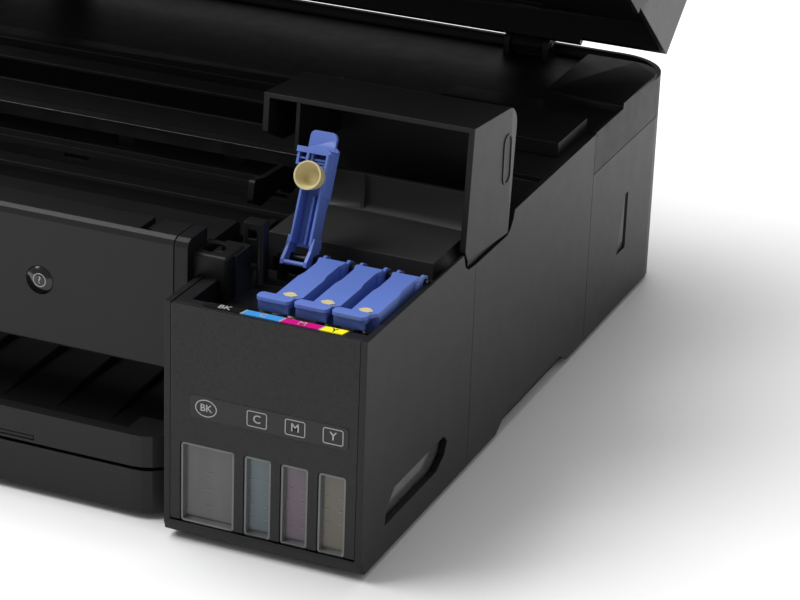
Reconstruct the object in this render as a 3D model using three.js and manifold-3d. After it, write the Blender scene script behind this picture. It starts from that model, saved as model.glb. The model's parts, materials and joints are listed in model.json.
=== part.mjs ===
// Ink-tank inkjet printer with scanner, standing open for refilling.
// Millimetres, +X to the right, +Y to the back, +Z up; origin on the table under the middle of the case.
import * as THREE from 'three';
import { mergeVertices } from 'three/addons/utils/BufferGeometryUtils.js';
import Module from 'manifold-3d';

const wasm = await Module();
wasm.setup();

// ---- driving dimensions ----
const bodyWidth = 375;          // across the case
const bodyDepth = 347;          // tank front to rear face
const rimHeight = 99;           // top edge of the case
const wall = 2.5;               // thickness of the case shells
const gap = 0.3;                // between pieces that touch
const footHeight = 2;
const floorThickness = 2.5;
const tankUnitWidth = 81;       // ink-tank unit at the right front
const tankTopHeight = 97.3;     // top of the tank unit's front
const tankProud = 22.5;         // how far the tank unit stands in front of the control panel
const lanePitch = 15.05;        // from one filler lever to the next
const lidHeight = 46;         // tank lid, closed, above the tank unit
const lidOpenAngle = 95;        // degrees
const leverOpenAngle = 115;     // degrees
const scannerOpenAngle = 38;    // degrees
const scannerTop = 163;         // top of the scanner bed, closed
const coverTop = 187;           // top of the document cover, closed
const panelBottom = 58;         // control panel's lower edge
const panelTop = 112;           // control panel's upper edge
const rearCornerRadius = 25;

// ---- places worked out from them ----
const rightX = bodyWidth / 2;
const leftX = -rightX;
const frontY = -bodyDepth / 2;
const backY = bodyDepth / 2;
const innerRight = rightX - wall;
const innerLeft = leftX + wall;
const panelFrontY = frontY + tankProud;
const tankLeft = rightX - tankUnitWidth;
const tankInnerLeft = tankLeft + wall;
const panelEnd = tankLeft - 2;
const lidLeft = tankLeft - 7.2;
const panelRight = lidLeft - 0.7;
const floorBottom = footHeight;
const floorTop = floorBottom + floorThickness;
const tankRearY = frontY + 103.7;      // seam between tank unit and side cover
const rearSeamY = backY - 107.5;       // seam between side cover and rear cover
const rearCoverTop = 80;
const lidPivot = { y: frontY + 70.9, z: tankTopHeight - 19.7 };
const leverPivot = { y: frontY + 60, z: tankTopHeight - 0.3 };
const scannerPivot = { y: backY - 10.5, z: rimHeight + 0.5 };
const coverPivot = { y: backY - 5, z: scannerTop + 7 };
const panelPivot = { y: panelFrontY + 5, z: panelTop - 5 };
const lidSlot = innerRight + 1.5;       // depth to which the case sides are relieved for the lid
const laneX = (i) => rightX - 53.9 + i * lanePitch;

// ---- finishes ----
const finish = (color, roughness, metalness = 0) =>
  new THREE.MeshStandardMaterial({ color, roughness, metalness });
const caseBlack = finish(0x1c1c1e, 0.5);
const grainBlack = finish(0x19191b, 0.6);
const innerBlack = finish(0x111113, 0.6);
const glossBlack = finish(0x0b0b0d, 0.12);
const leverBlue = finish(0x5f78c8, 0.42);
const plugCream = finish(0xd8cc98, 0.5);
const tankResin = finish(0x8c9299, 0.25);
const rubberBlack = finish(0x161616, 0.9);
const steel = finish(0xa9abae, 0.35, 0.9);
const darkSteel = finish(0x26272a, 0.45, 0.7);
const boardGreen = finish(0x1c5a37, 0.5);
const glassClear = finish(0xb9c4c6, 0.05);
const padWhite = finish(0xe6e6e2, 0.7);
const beltBlack = finish(0x101010, 0.8);
const keyGrey = finish(0x2b2b2e, 0.45);

// ---- solids from three.js shapes ----
function solid(geometry) {
  geometry.deleteAttribute('normal');
  geometry.deleteAttribute('uv');
  const merged = mergeVertices(geometry, 1e-4);
  return new wasm.Manifold(new wasm.Mesh({
    numProp: 3,
    vertProperties: new Float32Array(merged.attributes.position.array),
    triVerts: new Uint32Array(merged.index.array),
  }));
}

function box(x0, x1, y0, y1, z0, z1) {
  const geometry = new THREE.BoxGeometry(x1 - x0, y1 - y0, z1 - z0);
  geometry.translate((x0 + x1) / 2, (y0 + y1) / 2, (z0 + z1) / 2);
  return solid(geometry);
}

function extrusion(points, length) {
  const shape = new THREE.Shape(points.map(([u, v]) => new THREE.Vector2(u, v)));
  return new THREE.ExtrudeGeometry(shape, { depth: length, bevelEnabled: false });
}

// outline in (y, z), pushed along X
function alongX(points, x0, x1) {
  const geometry = extrusion(points, x1 - x0);
  geometry.applyMatrix4(new THREE.Matrix4().set(0, 0, 1, x0, 1, 0, 0, 0, 0, 1, 0, 0, 0, 0, 0, 1));
  return solid(geometry);
}

// outline in (x, z), pushed along Y
function alongY(points, y0, y1) {
  const geometry = extrusion(points, y1 - y0);
  geometry.applyMatrix4(new THREE.Matrix4().set(1, 0, 0, 0, 0, 0, -1, y1, 0, 1, 0, 0, 0, 0, 0, 1));
  return solid(geometry);
}

// outline in (x, y), pushed along Z
function alongZ(points, z0, z1) {
  const geometry = extrusion(points, z1 - z0);
  geometry.translate(0, 0, z0);
  return solid(geometry);
}

function rodX(y, z, radius, x0, x1, sides = 20) {
  const geometry = new THREE.CylinderGeometry(radius, radius, x1 - x0, sides);
  geometry.rotateZ(Math.PI / 2);
  geometry.translate((x0 + x1) / 2, y, z);
  return solid(geometry);
}

function rodY(x, z, radius, y0, y1, sides = 20) {
  const geometry = new THREE.CylinderGeometry(radius, radius, y1 - y0, sides);
  geometry.translate(x, (y0 + y1) / 2, z);
  return solid(geometry);
}

function rodZ(x, y, radius, z0, z1, sides = 20, topRadius = radius) {
  const geometry = new THREE.CylinderGeometry(topRadius, radius, z1 - z0, sides);
  geometry.rotateX(Math.PI / 2);
  geometry.translate(x, y, (z0 + z1) / 2);
  return solid(geometry);
}

// rounded rectangle outline; radii in the order (u0,v0) (u1,v0) (u1,v1) (u0,v1)
function rounded(u0, u1, v0, v1, radii, steps = 6) {
  const [a, b, c, d] = Array.isArray(radii) ? radii : [radii, radii, radii, radii];
  const corners = [
    [u0 + a, v0 + a, a, Math.PI],
    [u1 - b, v0 + b, b, 1.5 * Math.PI],
    [u1 - c, v1 - c, c, 0],
    [u0 + d, v1 - d, d, 0.5 * Math.PI],
  ];
  const points = [];
  for (const [u, v, radius, start] of corners) {
    const count = radius > 0 ? steps : 0;
    for (let i = 0; i <= count; i += 1) {
      const angle = start + (count ? (i / count) * (Math.PI / 2) : 0);
      points.push([u + radius * Math.cos(angle), v + radius * Math.sin(angle)]);
    }
  }
  return points;
}

const join = (...solids) => solids.reduce((sum, next) => sum.add(next));
const cut = (base, ...tools) => tools.reduce((rest, tool) => rest.subtract(tool), base);

// ---- scene graph ----
const printer = new THREE.Group();

function addMesh(parent, name, shape, material) {
  const mesh = shape.getMesh();
  const geometry = new THREE.BufferGeometry();
  geometry.setAttribute('position', new THREE.BufferAttribute(new Float32Array(mesh.vertProperties), 3));
  geometry.setIndex(new THREE.BufferAttribute(new Uint32Array(mesh.triVerts), 1));
  const node = new THREE.Mesh(geometry, material);
  node.name = name;
  parent.add(node);
}

// a group turned about an X axis; its pieces are drawn in their closed place
function swing(parent, pivot, degrees) {
  const turned = new THREE.Group();
  turned.position.set(0, pivot.y, pivot.z);
  turned.rotation.x = THREE.MathUtils.degToRad(degrees);
  const inner = new THREE.Group();
  inner.position.set(0, -pivot.y, -pivot.z);
  turned.add(inner);
  parent.add(turned);
  return inner;
}

// ---- paper path sizes, shared by base, cassette, trays and rollers ----
const cassetteLeft = leftX + 37.5;
const cassetteRight = tankLeft - 20.5;
const cassetteTop = 20.5;
const cassetteRear = backY - 28.5;
const trayBottom = 22;
const trayBed = 26;
const trayLip = 35;
const railInset = 3.5;
const frameY = backY - 153.5;   // front face of the chassis plate behind the carriage
const paperZ = 45;

// ---- base and feet ----
function makeBase() {
  const inset = wall + gap;
  const rear = rounded(leftX + inset, rightX - inset, panelFrontY + 3, backY - inset,
    [0, 0, rearCornerRadius - inset, rearCornerRadius - inset], 8);
  let base = alongZ(rear, floorBottom, floorTop);
  base = base.add(box(tankInnerLeft + gap, innerRight - gap, frontY + 5.6, panelFrontY + 4, floorBottom, floorTop));
  const railTop = trayBottom - gap;
  for (const [side, edge] of [[-1, cassetteLeft], [1, cassetteRight]]) {
    const near = edge + side * railInset;
    const far = near + side * wall;
    const ledge = edge + side * gap;
    base = base.add(box(Math.min(near, far), Math.max(near, far), panelFrontY + 5, cassetteRear + 6, floorTop - 0.5, railTop));
    base = base.add(box(Math.min(ledge, near) - (side < 0 ? 3 : 0), Math.max(ledge, near) + (side > 0 ? 3 : 0),
      panelFrontY + 5, cassetteRear + 6, cassetteTop + 0.4, railTop));
  }
  // raised rating-plate pad in the middle of the underside
  base = base.add(box(-45, 45, -25, 25, floorBottom - 0.8, floorBottom + 0.2));
  addMesh(printer, 'base_pan', base, innerBlack);
  const foot = { radius: 7, inset: 24 };
  const places = {
    foot_front_left: [leftX + foot.inset, panelFrontY + foot.inset],
    foot_front_right: [rightX - foot.inset, frontY + foot.inset],
    foot_rear_left: [leftX + foot.inset + 6, backY - foot.inset - 6],
    foot_rear_right: [rightX - foot.inset - 6, backY - foot.inset - 6],
  };
  for (const [name, [x, y]] of Object.entries(places)) {
    addMesh(printer, name, rodZ(x, y, foot.radius, 0, footHeight, 24), rubberBlack);
  }
}

// ---- side covers: shells with a hand-grip arch at the bottom edge ----
const grip = { front: frontY + 135.7, rear: backY - 128.5, rise: 5.2 };

function sideProfile(yFront, yRear, top) {
  return [
    [yFront, floorBottom], [grip.front, floorBottom], [grip.front + 8.8, floorBottom + grip.rise],
    [grip.rear - 9, floorBottom + grip.rise], [grip.rear, floorBottom], [yRear, floorBottom], ...top,
  ];
}

function makeSideCovers() {
  const end = rearSeamY - gap;
  const dip = { start: frontY + 138.5, end: frontY + 144.5, floor: 89 };
  const rightTop = [[end, rimHeight - 0.5], [dip.end, rimHeight - 1.5], [dip.end - 1.2, dip.floor + 5],
    [dip.start + 1.5, dip.floor + 1.2], [dip.start - 1.5, dip.floor], [tankRearY + gap, dip.floor]];
  // the inner face is relieved where the tank lid swings down beside it
  const right = cut(alongX(sideProfile(tankRearY + gap, end, rightTop), innerRight, rightX),
    box(innerRight - 1, lidSlot, tankRearY, dip.start + 2.6, 40, rimHeight));
  addMesh(printer, 'right_side_cover', right, caseBlack);
  const leftTop = [[end, rimHeight - 0.5], [panelFrontY, rimHeight - 0.5]];
  const left = alongX(sideProfile(panelFrontY, end, leftTop), leftX, innerLeft);
  addMesh(printer, 'left_side_cover', left, caseBlack);
}

// ---- rear cover: a U round the back with the inlet hole and the duplexer opening ----
const duplexer = { half: 130, bottom: 20 };
const inlet = { x0: 134, x1: 158, z0: 18, z1: 40 };

function rearShell(z0, z1, yFront) {
  const outer = alongZ(rounded(leftX, rightX, yFront, backY, [0, 0, rearCornerRadius, rearCornerRadius], 8), z0, z1);
  const radius = rearCornerRadius - wall;
  const inner = alongZ(rounded(innerLeft, innerRight, yFront - 5, backY - wall, [0, 0, radius, radius], 8), z0 - 1, z1 + 1);
  return cut(outer, inner);
}

function makeRearCovers() {
  let cover = rearShell(floorBottom, rearCoverTop, rearSeamY);
  cover = cut(cover, box(-duplexer.half, duplexer.half, backY - 5, backY + 1, duplexer.bottom, rearCoverTop + 1));
  cover = cut(cover, box(inlet.x0, inlet.x1, backY - 5, backY + 1, inlet.z0, inlet.z1));
  const groove = { y0: backY - 64.5, y1: backY - 57.5, z0: 28.6, z1: 55.4, deep: 1 };
  for (const side of [-1, 1]) {
    const x = side * rightX;
    cover = cut(cover, box(Math.min(x, x - side * groove.deep), Math.max(x, x - side * groove.deep),
      groove.y0 + 3, groove.y1, groove.z0, groove.z1));
    cover = cut(cover, box(Math.min(x, x - side * groove.deep), Math.max(x, x - side * groove.deep),
      groove.y0 - 4, groove.y1, groove.z0, groove.z0 + 4));
  }
  addMesh(printer, 'rear_cover', cover, caseBlack);
  const z0 = duplexer.bottom + gap;
  const z1 = rearCoverTop - gap;
  let door = box(-duplexer.half + gap, duplexer.half - gap, backY - wall, backY, z0, z1);
  door = door.add(box(-duplexer.half + 6, duplexer.half - 6, backY - 22, backY - wall, z0 + 2, z1 - 4));
  door = cut(door, box(-duplexer.half + 8.5, duplexer.half - 8.5, backY - 23, backY - wall - 2, z0 + 4.5, z1 - 6.5));
  door = cut(door, box(-30, 30, backY - 1.2, backY + 1, z1 - 14, z1 - 6));
  addMesh(printer, 'duplexer_cover', door, caseBlack);
}

// ---- upper housing: rim at the back and decks round the print mechanism ----
const deckZ = 92;
const deckTop = deckZ + wall;
const mouth = { left: leftX + 15.5, right: rightX - 77.5, rear: frameY + 38 };

function makeUpperHousing() {
  const inset = gap + wall;
  const plate = alongZ(rounded(leftX + inset, rightX - inset, mouth.rear, backY - wall + 0.5,
    [0, 0, rearCornerRadius - inset, rearCornerRadius - inset], 8), deckZ, deckTop);
  let housing = join(
    plate,
    rearShell(rearCoverTop + gap, rimHeight, rearSeamY),
    box(mouth.right, rightX - inset, frontY + 146.5, mouth.rear + 1, deckZ, deckTop),
    box(mouth.right, rightX - inset, frontY + 183.5, backY - 73, deckTop - 0.5, deckTop + 2.5),
    box(leftX + inset, mouth.left, panelFrontY + 42, mouth.rear + 1, deckZ, deckTop),
    box(mouth.left - 1, mouth.right + 1, mouth.rear, mouth.rear + 14, deckTop - 0.5, deckTop + 4),
  );
  // raised corner block at the right rear, flush with the side, and its twin on the left
  for (const side of [-1, 1]) {
    const x0 = side * (rightX - 36.5);
    const x1 = side * rightX;
    housing = housing.add(alongZ(rounded(Math.min(x0, x1), Math.max(x0, x1), backY - 72.5, backY - 16.5,
      [0, 0, side > 0 ? 14 : 0, side < 0 ? 14 : 0], 6), deckTop - 0.5, rimHeight + 2.5));
  }
  // ties between the outer skirt and the deck, and hinge towers for the scanner
  for (const side of [-1, 1]) {
    const x0 = side * (rightX - wall - 1);
    const x1 = side * (rightX - 0.5);
    housing = housing.add(box(Math.min(x0, x1), Math.max(x0, x1), rearSeamY, backY - 30, deckZ, deckTop));
    const tower = side * 120;
    for (const ear of [-11, 8]) {
      housing = housing.add(alongX([[scannerPivot.y - 5, deckZ], [scannerPivot.y + 5, deckZ],
        [scannerPivot.y + 5, scannerPivot.z + 2], [scannerPivot.y + 2, scannerPivot.z + 5],
        [scannerPivot.y - 2, scannerPivot.z + 5], [scannerPivot.y - 5, scannerPivot.z + 2]],
      tower + ear, tower + ear + 3));
    }
    housing = cut(housing, rodX(scannerPivot.y, scannerPivot.z, 2.8, tower - 12, tower + 12));
  }
  addMesh(printer, 'upper_housing', housing, innerBlack);
  // raised cover over the ink-tube loop
  const z0 = deckTop + 2.5 + gap;
  let platform = box(mouth.right + 4, rightX - 5.8, frontY + 208.5, frontY + 243.5, z0, 103.5);
  platform = cut(platform, box(mouth.right + 6.5, rightX - 8.3, frontY + 211, frontY + 241, z0 - 1, 101.5));
  addMesh(printer, 'platform_cover', platform, caseBlack);
}

// ---- beam behind the control panel ----
const beam = { y0: panelFrontY + 18, y1: panelFrontY + 42, z0: 62, z1: 106 };

// side outline of the control panel, shared by the fixed piece at its right end
const panelOutline = [[panelFrontY, panelBottom + 1], [panelFrontY + 1, panelBottom], [panelFrontY + 16, panelBottom],
  [panelFrontY + 16, panelTop], [panelFrontY + 3, panelTop], [panelFrontY + 0.9, panelTop - 0.9],
  [panelFrontY, panelTop - 3]];

function makeFrontBeam() {
  const x0 = innerLeft + gap;
  const x1 = tankLeft - 1;
  let shape = alongX([[beam.y0, beam.z0], [beam.y0 + wall, beam.z0], [beam.y0 + wall, beam.z1 - wall],
    [beam.y1 - wall, beam.z1 - wall], [beam.y1 - wall, beam.z0 + 22], [beam.y1, beam.z0 + 22],
    [beam.y1, beam.z1 - 2], [beam.y1 - 2, beam.z1], [beam.y0, beam.z1]], x0, x1);
  for (const x of [x0 + 0.4, x1 - wall - 0.4]) {
    shape = shape.add(box(x, x + wall, beam.y0 + 1, beam.y1 - 1, beam.z0 + 2, beam.z1 - 1));
  }
  for (const x of [innerLeft + 12, panelRight - 15]) {
    const y = panelPivot.y;
    const z = panelPivot.z;
    shape = shape.add(alongX([[y, z - 2.2], [beam.y0 + 1, z - 7.5], [beam.y0 + 1, beam.z1 - 1], [y + 5, z + 1.6],
      [y, z + 2.2], [y - 1.6, z + 1.5], [y - 2.2, z], [y - 1.6, z - 1.5]], x, x + 3));
    shape = cut(shape, rodX(panelPivot.y, panelPivot.z, 1.5, x - 1, x + 4, 16));
  }
  shape = shape.add(alongX(panelOutline, lidLeft - 0.3, panelEnd));
  shape = shape.add(box(lidLeft - 0.3, panelEnd, panelFrontY + 15, beam.y0 + 1, beam.z0 + 2, beam.z1 - 3));
  addMesh(printer, 'front_beam', shape, innerBlack);
}

// ---- control panel, tilting about its top edge, with its keys and display ----
const keys = {
  power_button: { x: -152, z: 85, r: 6.5 },
  start_button: { x: -10, z: 85, r: 6.5 },
  stop_button: { x: 12, z: 85, r: 5.2 },
  help_button: { x: 41.5, z: 84, r: 5.5 },
};
const pad = { x: -58, z: 85, half: 13 };
const screen = { x0: -124, x1: -84, z0: 70, z1: 100 };

function makeControlPanel() {
  const x0 = innerLeft + gap;
  const x1 = panelRight;
  const y0 = panelFrontY;
  const y1 = panelFrontY + 16;
  let panel = alongX(panelOutline, x0, x1);
  panel = cut(panel, box(x0 + wall, x1 - wall, y0 + wall, y1 + 1, panelBottom + wall, panelTop - wall));
  for (const x of [innerLeft + 12, panelRight - 15]) {
    panel = cut(panel, box(x - 0.8, x + 3.8, panelPivot.y - 1.5, y1 + 1, panelTop - 4, panelTop + 1));
  }
  for (const key of Object.values(keys)) {
    panel = cut(panel, rodY(key.x, key.z, key.r + gap, y0 - 1, y0 + wall + 1, 28));
  }
  panel = cut(panel, alongY(rounded(pad.x - pad.half - gap, pad.x + pad.half + gap, pad.z - pad.half - gap,
    pad.z + pad.half + gap, 6), y0 - 1, y0 + wall + 1));
  panel = cut(panel, box(screen.x0 - gap, screen.x1 + gap, y0 - 1, y0 + wall + 1, screen.z0 - gap, screen.z1 + gap));
  // pins that turn in the beam's ears, held on webs inside the panel
  for (const x of [innerLeft + 12, panelRight - 15]) {
    const web = box(x + 4, x + 6, y0 + wall - 0.5, panelPivot.y + 2.4, panelPivot.z - 3, panelTop - wall + 0.5);
    panel = join(panel, web, rodX(panelPivot.y, panelPivot.z, 1.2, x - 0.5, x + 5, 16));
  }
  addMesh(printer, 'control_panel', panel, caseBlack);
  const inward = y0 + wall + 2;
  for (const [name, key] of Object.entries(keys)) {
    const cap = join(rodY(key.x, key.z, key.r, y0 - 0.2, y0 + wall + 0.4, 28),
      rodY(key.x, key.z, key.r + 1.2, y0 + wall + 0.4, inward, 28));
    addMesh(printer, name, cap, glossBlack);
  }
  const arrowPad = join(
    alongY(rounded(pad.x - pad.half, pad.x + pad.half, pad.z - pad.half, pad.z + pad.half, 5.7), y0 - 0.2, y0 + wall + 0.4),
    alongY(rounded(pad.x - pad.half - 1.2, pad.x + pad.half + 1.2, pad.z - pad.half - 1.2, pad.z + pad.half + 1.2, 6.5),
      y0 + wall + 0.4, inward));
  addMesh(printer, 'arrow_pad', arrowPad, glossBlack);
  const display = join(box(screen.x0, screen.x1, y0, y0 + 3, screen.z0, screen.z1),
    box(screen.x0 - 2, screen.x1 + 2, y0 + wall + gap, y0 + 5, screen.z0 - 2, screen.z1 + 2));
  addMesh(printer, 'display', display, glossBlack);
}

// ---- ink-tank unit ----
const windows = [
  { name: 'ink_tank_black', x0: rightX - 74, x1: rightX - 52.1, body0: rightX - 77.4, body1: rightX - 50.2 },
  { name: 'ink_tank_cyan', x0: rightX - 47.8, x1: rightX - 37.1, body0: rightX - 49.7, body1: rightX - 35.2 },
  { name: 'ink_tank_magenta', x0: rightX - 32.9, x1: rightX - 22.1, body0: rightX - 34.7, body1: rightX - 20.1 },
  { name: 'ink_tank_yellow', x0: rightX - 17.8, x1: rightX - 6.9, body0: rightX - 19.6, body1: rightX - 3.2 },
];
const glassZ = { bottom: 9, top: 41.7 };
const plateZ = { bottom: 9.4, top: tankTopHeight };
const tankBody = { z0: floorTop + 1, z1: 45, rear: frontY + 83.5 };
const portY = frontY + 29;
const filler = { z0: 82, z1: 88, recess: 84.2, rear: frontY + 64.6 };

function makeTankCase() {
  const lip = frontY + 2.3;
  const notch = { y0: frontY + 90.8, y1: tankRearY + 1, floor: 89 };
  const side = [[frontY + 4, floorBottom], [tankRearY, floorBottom], [tankRearY, notch.floor],
    [notch.y0 + 5.2, notch.floor + 0.5], [notch.y0 + 2, notch.floor + 2.8], [notch.y0, tankTopHeight],
    [frontY, tankTopHeight], [frontY, floorBottom + 5], [frontY + 1.2, floorBottom + 1.6]];
  const floorEdge = panelFrontY + 2.5;
  const innerSide = [side[0], [floorEdge, floorBottom], [floorEdge, floorTop + gap], [tankRearY, floorTop + gap],
    [tankRearY, rimHeight - 12], [notch.y0 + 5.2, rimHeight - 12], [notch.y0, tankTopHeight], ...side.slice(6)];
  let shell = join(alongX(side, innerRight, rightX), alongX(innerSide, tankLeft, tankInnerLeft));
  const front = alongX([[frontY, floorBottom + 5], [frontY + 1.2, floorBottom + 1.6], [frontY + 4, floorBottom],
    [frontY + 5, floorBottom], [frontY + 5, filler.z0 - gap], [lip, filler.z0 - gap], [lip, glassZ.bottom - 0.6],
    [frontY, glassZ.bottom - 0.6]], tankLeft, rightX);
  shell = shell.add(front);
  for (const window of windows) {
    shell = cut(shell, box(window.x0 - 0.6, window.x1 + 0.6, lip - 1, frontY + 6, glassZ.bottom - 0.6, glassZ.top + 0.6));
  }
  // slot that shows the outermost tank from the side
  shell = cut(shell, alongX([[frontY + 21.5, 14], [frontY + 71, 14], [frontY + 79, 18], [frontY + 81.5, 23],
    [frontY + 78, 26.5], [frontY + 30, 26.5], [frontY + 22, 20]], innerRight - 1, rightX + 1));
  // relief for the lid's right side, stub axles for the lid, and a seat for the end of the lever rod
  shell = cut(shell, box(innerRight - 1, lidSlot, leverPivot.y + 3.4, tankRearY + 1, 47, rimHeight));
  shell = shell.add(rodX(lidPivot.y, lidPivot.z, 3, innerRight - 3.2, innerRight + 2));
  shell = shell.add(rodX(lidPivot.y, lidPivot.z, 3, tankInnerLeft - 1, tankInnerLeft + 3.6));
  shell = cut(shell, rodX(leverPivot.y, leverPivot.z, 1.8, innerRight - 1, innerRight + 1.3));
  addMesh(printer, 'tank_case', shell, caseBlack);
}

function makeFrontPlate() {
  let plate = box(tankInnerLeft + 0.2, innerRight - 0.2, frontY, frontY + 2, plateZ.bottom, plateZ.top - gap);
  for (const window of windows) {
    plate = cut(plate, alongY(rounded(window.x0 - gap, window.x1 + gap, glassZ.bottom - 1, glassZ.top + gap, [0, 0, 1.5, 1.5], 4),
      frontY - 1, frontY + 3));
  }
  addMesh(printer, 'tank_front_plate', plate, grainBlack);
}

function makeTanks() {
  windows.forEach((window, i) => {
    const x = laneX(i);
    const skin = 1.2;
    const necks = { outer: 2.4, inner: 1.5, top: 90.9 };
    let tank = join(
      box(window.body0, window.body1, frontY + 5.5, tankBody.rear, tankBody.z0, tankBody.z1),
      alongY(rounded(window.x0, window.x1, glassZ.bottom, glassZ.top, 1.2, 4), frontY + 0.4, frontY + 6),
      rodZ(x, portY, necks.outer, tankBody.z1 - 0.5, necks.top, 20),
    );
    tank = cut(tank,
      box(window.body0 + skin, window.body1 - skin, frontY + 5.5 + skin, tankBody.rear - skin, tankBody.z0 + skin,
        tankBody.z1 - skin),
      box(window.x0 + skin, window.x1 - skin, frontY + 0.4 + skin, frontY + 8, glassZ.bottom + skin, glassZ.top - skin),
      rodZ(x, portY, necks.inner, tankBody.z1 - 4, necks.top + 1, 20),
    );
    addMesh(printer, window.name, tank, tankResin);
  });
}

function makeFillerDeck() {
  const x0 = tankInnerLeft + gap;
  const x1 = innerRight - gap;
  let deck = box(x0, x1, frontY + 5.4, filler.rear - 0.3, filler.z0, filler.z1);
  // ledge that carries the colour strip
  deck = deck.add(box(x0, x1, frontY + 2.3, frontY + 6.6, tankTopHeight - 9, tankTopHeight - 0.3));
  deck = deck.add(box(x0, x1, frontY + 3.4, frontY + 6.6, filler.z0, tankTopHeight - 8));
  // plinth at the left, with the screw well, and the slotted post
  deck = deck.add(box(x0, x0 + 5.5, frontY + 6, frontY + 32.5, filler.z1 - 0.5, tankTopHeight - 0.3));
  let plinth = box(x0, x0 + 10, frontY + 33, frontY + 46, filler.z1 - 0.5, 105);
  plinth = cut(plinth, rodZ(x0 + 5, frontY + 39, 3.6, 97, 106, 20));
  const post = join(
    alongZ(rounded(x0 + 4.6, x0 + 12.9, frontY + 49, frontY + 56, 1.2, 3), filler.z1 - 0.5, 112),
    box(x0 + 6, x0 + 11, frontY + 46, frontY + 50, filler.z1 - 0.5, 96),
  );
  deck = join(deck, plinth, cut(post, box(x0 + 7, x0 + 10.6, frontY + 48, frontY + 57, 106, 109.5)));
  // one round recess per port, with a keying lug in front of the neck
  for (let i = 0; i < 4; i += 1) {
    deck = cut(deck, rodZ(laneX(i), portY, 7, filler.recess, filler.z1 + 1, 28));
    deck = cut(deck, rodZ(laneX(i), portY, 2.7, filler.z0 - 1, filler.z1 + 1, 20));
    deck = deck.add(rodZ(laneX(i), portY - 13, 2.4, filler.z1 - 0.5, 91.8, 16));
  }
  // ears that hold the lever rod between the lanes
  for (let i = 0; i < 4; i += 1) {
    const x = laneX(i) - lanePitch / 2;
    const y = leverPivot.y;
    const z = leverPivot.z;
    deck = deck.add(alongX([[y - 3.2, filler.z1 - 0.5], [y + 2.4, filler.z1 - 0.5], [y + 2.4, z + 1],
      [y + 1, z + 2.4], [y - 2, z + 2.4], [y - 3.2, z + 1]], x - 1.1, x + 1.1));
  }
  deck = cut(deck, rodX(leverPivot.y, leverPivot.z, 1.7, laneX(0) - 12, laneX(3) + 6.1, 20));
  addMesh(printer, 'filler_deck', deck, innerBlack);
  addMesh(printer, 'lever_rod', rodX(leverPivot.y, leverPivot.z, 1.5, laneX(0) - 9.2, innerRight + 0.9, 20), darkSteel);
}

// ---- floor and low wall behind the levers, inside the open lid ----
function makeLeverGuard() {
  const x0 = tankInnerLeft + 4;
  const x1 = innerRight - 3.4;
  const y0 = frontY + 74.5;
  const y1 = frontY + 114.5;
  const top = 114;
  const floorZ = tankTopHeight - 0.3;
  let guard = alongX([[y0, floorZ - 8], [y0 + 2, floorZ - 8], [y0 + 2, floorZ], [y1 - 2, floorZ],
    [y1 - 2, floorZ - 40], [y1, floorZ - 40], [y1, top], [y1 - 2, top], [y1 - 2, floorZ + 5], [y1 - 5, floorZ + 2], [y0, floorZ + 2]], x0, x1);
  guard = guard.add(box((x0 + x1) / 2 - 12, (x0 + x1) / 2 - 10.8, y1 - 4, y1 - 1, floorZ + 1, top));
  for (const x of [x0, x1 - 2]) {
    guard = guard.add(box(x, x + 2, y0, y0 + 30, tankBody.z1 + gap, floorZ + 1));
  }
  addMesh(printer, 'lever_guard', guard, innerBlack);
}

// ---- tank lid ----
const lidRight = rightX - 0.3;

function makeTankLid() {
  const lid = swing(printer, lidPivot, -lidOpenAngle);
  const side = 2.4;
  const roof = 1.5;
  const z0 = tankTopHeight + gap;
  const z1 = z0 + lidHeight;
  const step = panelFrontY - 0.6;          // rear edge of the wall in front of the control panel
  const flushEnd = frontY + 53;            // side wall flush with the case up to here
  const rear = frontY + 94.5;
  const radius = 9;
  const innerEdge = innerRight - gap;      // behind flushEnd the wall runs inside the case
  const outer = rounded(frontY, rear, z0, z1, [0, 0, 0, radius], 6);
  let shell = cut(
    alongX(outer, lidLeft, lidRight),
    alongX(rounded(frontY + 2, rear + 1, z0 - 10, z1 - roof, [0, 0, 0, radius - roof], 6), lidLeft + side, lidRight - side),
    // left side: wall only in front of the panel, its lower rear corner sloped to pass the panel
    alongX([[step - 6.4, z0 - 1], [step - 6.4, z0], [step, panelTop + 1], [step, z1 - roof], [rear + 1, z1 - roof],
      [rear + 1, z0 - 1]], lidLeft - 1, lidLeft + side + 1),
    // right side: step inwards behind flushEnd
    alongX([[flushEnd - 4, z0 - 1], [flushEnd - 4, z0], [flushEnd, z0 + 3.2], [flushEnd, z1 + 1], [rear + 1, z1 + 1],
      [rear + 1, z0 - 1]], innerEdge, rightX + 1),
  );
  const clear = frontY + 66.5;             // the inset wall stays above the lever rod up to here
  const hub = [[lidPivot.y - 6, lidPivot.z + 3], [lidPivot.y - 6, lidPivot.z - 3], [lidPivot.y - 3, lidPivot.z - 6],
    [lidPivot.y + 3, lidPivot.z - 6], [lidPivot.y + 6, lidPivot.z - 3]];
  shell = shell.add(alongX([[flushEnd - 1, z0 + 6], [clear, z0 + 6], [clear, z0 - 6], ...hub, [rear, z0 + 3],
    [rear, z1 - 1], [flushEnd - 1, z1 - 1]], innerEdge, lidSlot - gap));
  shell = shell.add(alongX([[clear, z0 - 12], ...hub, [rear - 12, z0 - 12]], innerEdge - side, lidSlot - gap));
  // left inset wall, and the rib inside the front
  const left = tankInnerLeft + gap + 0.5;
  shell = shell.add(alongX([[clear, z0 + 8], [clear, z0 - 6], ...hub, [rear, z0 + 3], [rear, z1 - 1],
    [clear, z1 - 1]], left, left + side));
  shell = shell.add(box(left + 1.7, left + 3.3, frontY + 1, step + 1, z0 + 4, z1 - 1));
  shell = cut(shell, rodX(lidPivot.y, lidPivot.z, 3.3, lidLeft, rightX));
  addMesh(lid, 'tank_lid', shell, caseBlack);
}

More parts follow.
